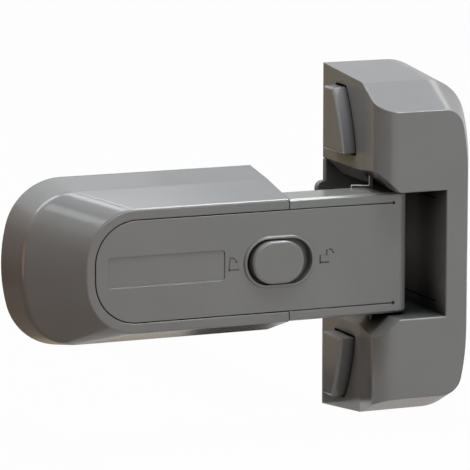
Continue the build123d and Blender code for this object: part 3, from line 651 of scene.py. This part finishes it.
red_brown = (0.2, 0.11, 0.085)
pale_brown = (0.5, 0.44, 0.34)
pale_grey = (0.66, 0.66, 0.66)
screens = (
    ("front_screen", 0.2, 186.0, 250.0, 0.09, red_brown, pale_brown),
    ("left_screen", 0.2, 110.0, 186.0, 0.09, red_brown, pale_brown),
    ("behind_screen", 0.2, 91.0, 110.0, 0.09, (0.42, 0.34, 0.2), (0.45, 0.37, 0.22)),
    ("back_screen", 0.19, 72.0, 91.0, 0.09, (0.01, 0.005, 0.0), (0.07, 0.05, 0.035)),
    ("right_screen", 0.3, 35.0, 71.0, 0.2, pale_grey, pale_grey),
)
for name, radius, start, end, top, low_colour, high_colour in screens:
    curved_screen(name, middle, radius, start, end, floor_height, top, low_colour, high_colour)

# A small warm screen, which is only mirrored, glows in the crease of the base's rounded end

warm_glow = (2.6, 1.1, 0.65)
base_end = Vector((cad_low.x, -0.021, 0.0))
curved_screen("warm_screen", base_end, 0.03, 170.0, 190.0, -0.009, 0.01, warm_glow, warm_glow, lights=False)


# Cards just above the floor colour what the undersides mirror

card_gap = 0.0003
floor_cards = (
    ("left_card", (-0.26, -0.25), (-0.085, 0.2), (0.26, 0.21, 0.17)),
    ("back_card", (-0.085, 0.02), (-0.032, 0.2), (0.44, 0.35, 0.26)),
    ("side_card", (-0.032, 0.0), (-0.004, 0.2), (0.01, 0.01, 0.01)),
    ("under_card", (-0.002, -0.045), (0.04, 0.02), (0.52, 0.5, 0.48)),
)
for name, low, high, colour in floor_cards:
    flat_card(name, low, high, floor_height + card_gap, colour)


# Cards overhead, which are only mirrored, give the highlights on edges, facets and rounded ends

overhead_height = 0.6
white_light = (1.0, 1.0, 1.0)
cool_light = (0.93, 0.97, 1.0)
pink_light = (1.0, 0.93, 0.9)
overhead_cards = (
    ("edge_card", (0.1, -0.4), (0.4, -0.05), white_light, 14.0),
    ("sill_card", (0.15, -0.05), (0.4, 0.15), white_light, 20.0),
    ("facet_card", (0.12, 0.28), (0.225, 0.42), white_light, 6.0),
    ("upper_streak_card", (-0.07, 0.04), (0.08, 0.22), cool_light, 7.0),
    ("lower_streak_card", (-0.5, -0.4), (-0.34, -0.2), cool_light, 4.5),
    ("left_back_card", (-0.65, 0.1), (-0.12, 0.5), cool_light, 6.0),
    ("right_back_card", (0.46, 0.38), (0.78, 0.85), pink_light, 2.7),
)
for name, low, high, colour, strength in overhead_cards:
    flat_card(name, low, high, overhead_height, colour, strength, lights=False)


# Lamps and room

softbox("overhead_softbox", (-0.05, -0.03, overhead_height), middle, (0.7, 0.35), 4.7, mirrored=False)
softbox("front_fill", (0.17, -0.93, 0.22), middle, (0.26, 0.4), 2.2)


def studio_world(name, strength, low_colour, high_colour):
    """A pale room that is lighter above, behind which the background shows as plain white."""
    world = bpy.data.worlds.new(name)
    bpy.context.scene.world = world
    world.use_nodes = True
    tree = world.node_tree
    tree.nodes.clear()
    output = tree.nodes.new("ShaderNodeOutputWorld")
    room_light = tree.nodes.new("ShaderNodeBackground")
    room_light.inputs["Strength"].default_value = strength
    white = tree.nodes.new("ShaderNodeBackground")
    white.inputs["Color"].default_value = (1.0, 1.0, 1.0, 1.0)
    white.inputs["Strength"].default_value = 1.0
    direction = tree.nodes.new("ShaderNodeTexCoord")
    split = tree.nodes.new("ShaderNodeSeparateXYZ")
    tree.links.new(direction.outputs["Generated"], split.inputs["Vector"])
    height = tree.nodes.new("ShaderNodeMapRange")
    height.inputs["From Min"].default_value = -1.0
    height.inputs["From Max"].default_value = 1.0
    tree.links.new(split.outputs["Z"], height.inputs["Value"])
    room = ramp(tree, height.outputs["Result"], low_colour, high_colour, 0.35, 0.75)
    tree.links.new(room, room_light.inputs["Color"])
    choice = tree.nodes.new("ShaderNodeMixShader")
    tree.links.new(background_rays(tree), choice.inputs["Fac"])
    tree.links.new(room_light.outputs["Background"], choice.inputs[1])
    tree.links.new(white.outputs["Background"], choice.inputs[2])
    tree.links.new(choice.outputs["Shader"], output.inputs["Surface"])


studio_world("studio_world", strength=0.28, low_colour=(0.3, 0.26, 0.22), high_colour=(0.95, 0.97, 1.0))


# Camera

def photo_camera(name, azimuth, elevation, aim, distance, focal_pixels):
    """The photograph's camera; its angles are in degrees to the left of the front and above it."""
    side = math.radians(azimuth)
    rise = math.radians(elevation)
    level = math.cos(rise)
    forward = Vector((math.sin(side) * level, math.cos(side) * level, -math.sin(rise)))
    image_width = 470
    lens = bpy.data.cameras.new(name)
    lens.sensor_width = 36.0
    lens.lens = focal_pixels / image_width * lens.sensor_width
    lens.clip_start = 0.05
    lens.clip_end = 20.0
    camera = bpy.data.objects.new(name, lens)
    camera.location = aim - forward * distance
    camera.rotation_euler = forward.to_track_quat("-Z", "Y").to_euler()
    bpy.context.scene.collection.objects.link(camera)
    bpy.context.scene.camera = camera


photo_camera(
    "photo_camera",
    azimuth=22.67,
    elevation=9.75,
    aim=Vector((-29.26, -0.5, 1.5)) * MM,
    distance=1023.8 * MM,
    focal_pixels=3685.67,
)
bpy.context.scene.view_settings.view_transform = "Standard"
